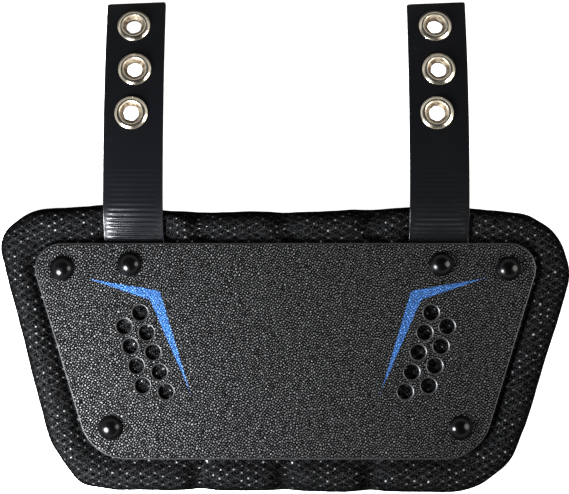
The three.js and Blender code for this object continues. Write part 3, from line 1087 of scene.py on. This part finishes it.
def padRings():
    v = named(padValues)
    outline = evenPoints(roundedOutline(v.corners), v.stations)
    edge = evenPoints(plateOutline(), v.plateStations)
    inner = np.array([edge[np.argmin(np.sum((edge - point) ** 2, axis=1))] for point in outline])
    rings = []
    for share, height, channel in splineRows(v.section, v.sectionSteps):
        dip = channel * bellCurve(toChannel(outline[:, 0]), v.channelHalf)
        reach = (share + v.channelInset * dip)[:, None]
        flat = outline * (1 - reach) + inner * reach
        level = np.full(len(flat), max(height, 0)) - v.channelDepth * dip
        level = np.minimum(level, np.maximum(pressedHeight(flat[:, 0], flat[:, 1]), 0))
        rings.append(np.column_stack([flat, np.maximum(level, 0)]))
    return np.array(rings), unitRows(outline - inner)


def ringSides(start, across, down, count):
    # the stations along a ring's top, left, bottom and right
    i, j = np.arange(across + 1), np.arange(down + 1)
    corner = start + across
    return [k % count for k in (start + i, corner + j, corner + down + across - i, start - j)]


def patchPoints(ring, sides):
    # fills a ring with a grid whose columns run from the pad's top to its bottom
    top, left, bottom, right = (ring[side] for side in sides)
    u = (np.arange(len(top)) / (len(top) - 1))[:, None, None]
    w = (np.arange(len(left)) / (len(left) - 1))[None, :, None]
    grid = (1 - w) * top[:, None] + w * bottom[:, None] + (1 - u) * right[None] + u * left[None]
    grid -= (1 - u) * (1 - w) * top[0] + u * (1 - w) * top[-1] + (1 - u) * w * bottom[0] + u * w * bottom[-1]
    return grid[1:-1, 1:-1].reshape(-1, 3)


def patchFaces(sides, ringBase, innerBase):
    top, left, bottom, right = (ringBase + side for side in sides)
    inside = len(top) - 2, len(left) - 2
    numbers = np.zeros((len(top), len(left)), int)
    numbers[1:-1, 1:-1] = innerBase + np.arange(inside[0] * inside[1]).reshape(inside)
    numbers[0], numbers[-1] = right, left
    numbers[:, 0], numbers[:, -1] = top, bottom
    quads = np.stack([numbers[:-1, :-1], numbers[1:, :-1], numbers[1:, 1:], numbers[:-1, 1:]], axis=-1)
    return [tuple(quad) for quad in quads.reshape(-1, 4).tolist()]


def clothHold(rings, pointCount):
    # what holds the cloth, from 0 to 1: the seat, the back, the channels and the straps
    v = named(padValues)
    ringCount, count = rings.shape[:2]
    held = np.ones(pointCount)
    for k, ring in enumerate(rings):
        x, y, _ = ring.T
        level = k / (ringCount - 1)
        ends = np.maximum(1 - softStep(*v.backLoose, level), softStep(*v.seatLoose, level))
        sewn = bellCurve(toChannel(x), v.sewnHalf) * (np.abs(y - v.sewnMiddle) > v.sewnBeyond)
        gripped = (toStrap(x) < v.strapHold) & (y > v.strapHoldAbove)
        held[k * count:(k + 1) * count] = np.clip(np.maximum(ends, sewn) + gripped, 0, 1)
    return held


def padLoft():
    v = named(padValues)
    rings, outward = padRings()
    ringCount, count = rings.shape[:2]
    across, down = v.acrossSteps, v.stations // 2 - v.acrossSteps
    toCorner = np.linalg.norm(rings[v.cornerRing][:, :2] - np.array(v.topRight), axis=1)
    start = int(np.argmin(toCorner))  # the grids start at the pad's top right corner
    sides = ringSides(start, across, down, count)
    seat = patchPoints(rings[-1], sides)
    seat[:, 2] = np.minimum(v.seat, pressedHeight(seat[:, 0], seat[:, 1]))
    back = patchPoints(rings[0], sides)
    points = np.vstack([rings.reshape(-1, 3), seat, back])
    seatBase = ringCount * count
    backBase = seatBase + len(seat)
    faces = []
    for low in range(0, seatBase - count, count):
        faces += bandFaces(range(low, low + count), range(low + count, low + 2 * count))
    faces += patchFaces(sides, seatBase - count, seatBase)
    firstBackFace = len(faces)
    faces += [face[::-1] for face in patchFaces(sides, 0, backBase)]
    # where each point lies on the cloth once it is spread flat
    steps = np.linalg.norm(np.diff(rings, axis=0), axis=2)
    arcs = np.vstack([np.cumsum(steps[::-1], axis=0)[::-1], np.zeros(count)])
    spread = rings[-1][None, :, :2] + outward[None] * arcs[:, :, None]
    spread = np.vstack([spread.reshape(-1, 2), seat[:, :2], back[:, :2]])
    return points, faces, spread, clothHold(rings, len(points)), firstBackFace


def writeSpread(mesh, spread, firstBackFace):
    layer = mesh.uv_layers.new(name="clothSpread")
    for polygon in mesh.polygons:
        isBack = polygon.index >= firstBackFace  # the back is its own sheet
        for corner in polygon.loop_indices:
            point = mesh.loops[corner].vertex_index
            place = mesh.vertices[point].co if isBack else Vector(spread[point]) * mm
            layer.data[corner].uv = (place[0] + padValues["backShift"] * isBack, place[1])


def puffPad(pad, held):
    v = named(padValues)
    scene = bpy.context.scene
    mesh = pad.data
    begin = readPlaces(mesh)
    free = (1 - held)[:, None]
    writePlaces(mesh, begin - readNormals(mesh) * free * v.shrink * mm)
    group = pad.vertex_groups.new(name="held")
    for i, weight in enumerate(held):
        group.add([i], float(weight), "REPLACE")
    cloth = pad.modifiers.new("puff", "CLOTH")
    for name, value in v.cloth.items():
        setattr(cloth.settings, name, value)
    cloth.settings.effector_weights.gravity = 0
    cloth.collision_settings.use_collision = False
    cloth.point_cache.frame_end = v.frames
    for number in range(1, v.frames + 1):
        scene.frame_set(number)
    depsgraph = bpy.context.evaluated_depsgraph_get()
    move = readPlaces(pad.evaluated_get(depsgraph).data) - begin
    pad.modifiers.remove(cloth)
    pad.vertex_groups.remove(group)
    scene.frame_set(1)
    reach = np.linalg.norm(move, axis=1)
    move *= np.minimum(1, v.cap * mm / np.maximum(reach, tiny))[:, None]
    writePlaces(mesh, begin + move * free)
    print("stage: pad cloth moved up to", round(float(reach.max()) / mm, 2), "mm, kept to", v.cap)


def sewPad(pad):
    # sharper creases where the channels are sewn, and the small unevenness of foam under cloth
    v = named(padValues)
    places = readPlaces(pad.data) / mm
    normals = readNormals(pad.data)
    x, y, z = places.T.copy()
    distance = toChannel(x)
    lumps = []
    for place in places:
        wide = noise.noise(Vector(place) * v.lumpScale)
        lumps.append(wide + v.fineLumps * noise.noise(Vector(place) * v.fineLumpScale))
    border = softStep(*v.border, z)
    under = softStep(*v.underHeight, z) * softStep(*v.underFacing, normals[:, 2])
    ends = border * (np.abs(y - v.creaseMiddle) > v.creaseBeyond)
    # shallow at the silhouette
    facing = v.creaseLeast + (1 - v.creaseLeast) * softStep(*v.creaseFacing, normals[:, 2])
    sink = v.creaseDepth * bellCurve(distance, v.creaseHalf) * ends * facing
    places += normals * (v.lumps * np.array(lumps) * border - sink)[:, None]
    places[:, 2] += v.backDepth * bellCurve(distance, v.backHalf) * under
    pressed = pressedHeight(places[:, 0], places[:, 1]) + v.pressSlack
    pressed = np.where(places[:, 1] > v.pressAbove, pressed, farAbove)
    places[:, 2] = np.clip(np.minimum(places[:, 2], np.maximum(pressed, 0)), 0, None)
    writePlaces(pad.data, places * mm)


def makePad(material):
    points, faces, spread, held, firstBackFace = padLoft()
    pad = meshPiece("padCushion", points, faces)
    writeSpread(pad.data, spread, firstBackFace)
    puffPad(pad, held)
    finer = pad.modifiers.new("finer", "SUBSURF")
    finer.levels = finer.render_levels = 1
    bakeModifiers(pad)
    sewPad(pad)
    pad.data.shade_smooth()
    dressPiece(pad, material, ["pad"])
    print("stage: pad", len(pad.data.polygons), "faces")


def makePadMesh(spacerKnit, handlingWear):
    v = named(padValues)
    material, tree, shader = newMaterial("padMesh", IOR=1.5, Specular_IOR_Level=1.0)
    spread = tree.nodes.new("ShaderNodeUVMap")
    spread.uv_map = "clothSpread"
    knit = placeGroup(spacerKnit, Place=spread.outputs["UV"])
    taut = mapped(maths("ABSOLUTE", facingUp(tree)), *v.taut)  # painted shade: more of the knit is hole, so darker, where the surface turns away from facing up or down, over the roll's sides
    hole = timesPlus(taut, minus(1.0, knit["Hole"]), knit["Hole"])
    knot = blended(knit["Knot Glint"], v.yarn, v.knot)
    # painted glint: knots lighter by their shine
    colour = blended(hole, blended(knit["Knot"], v.yarn, knot), v.hollow)
    # painted shade in the holes
    wear = wornBy(handlingWear, objectPlace(tree), colour, v)
    feed(shader["Base Color"], wear["Colour"])
    feed(shader["Roughness"], mapped(hole, 0.0, 1.0, wear["Roughness"], 1.0, soft=False))
    feed(shader["Metallic"], hole)  # painted shade: the holes are made black by full metallic over a near-black colour
    feed(shader["Normal"], bumped(knit["Height"], 1.0, v.knitDepth))
    return material


# the whole part

makeStudio()
pebbleGrain = makePebbleGrain()
handlingWear = makeHandlingWear()
spacerKnit = makeSpacerKnit()
wavySkin = makeWavySkin()
makePlate(makePlatePlastic(pebbleGrain, handlingWear))
strapVinyl = makeStrapVinyl(handlingWear, wavySkin)
grommetNickel = makeGrommetNickel(handlingWear, wavySkin)
rivetEnamel = makeRivetEnamel(handlingWear)
for side in sideSigns:
    makeStrap(side, strapVinyl)
    for name in grommetValues["rows"]:
        makeGrommet(side, name, grommetNickel)
    for name in rivetValues["rows"]:
        makeRivet(side, name, rivetEnamel)
print("stage: straps, grommets and rivets")
makePad(makePadMesh(spacerKnit, handlingWear))
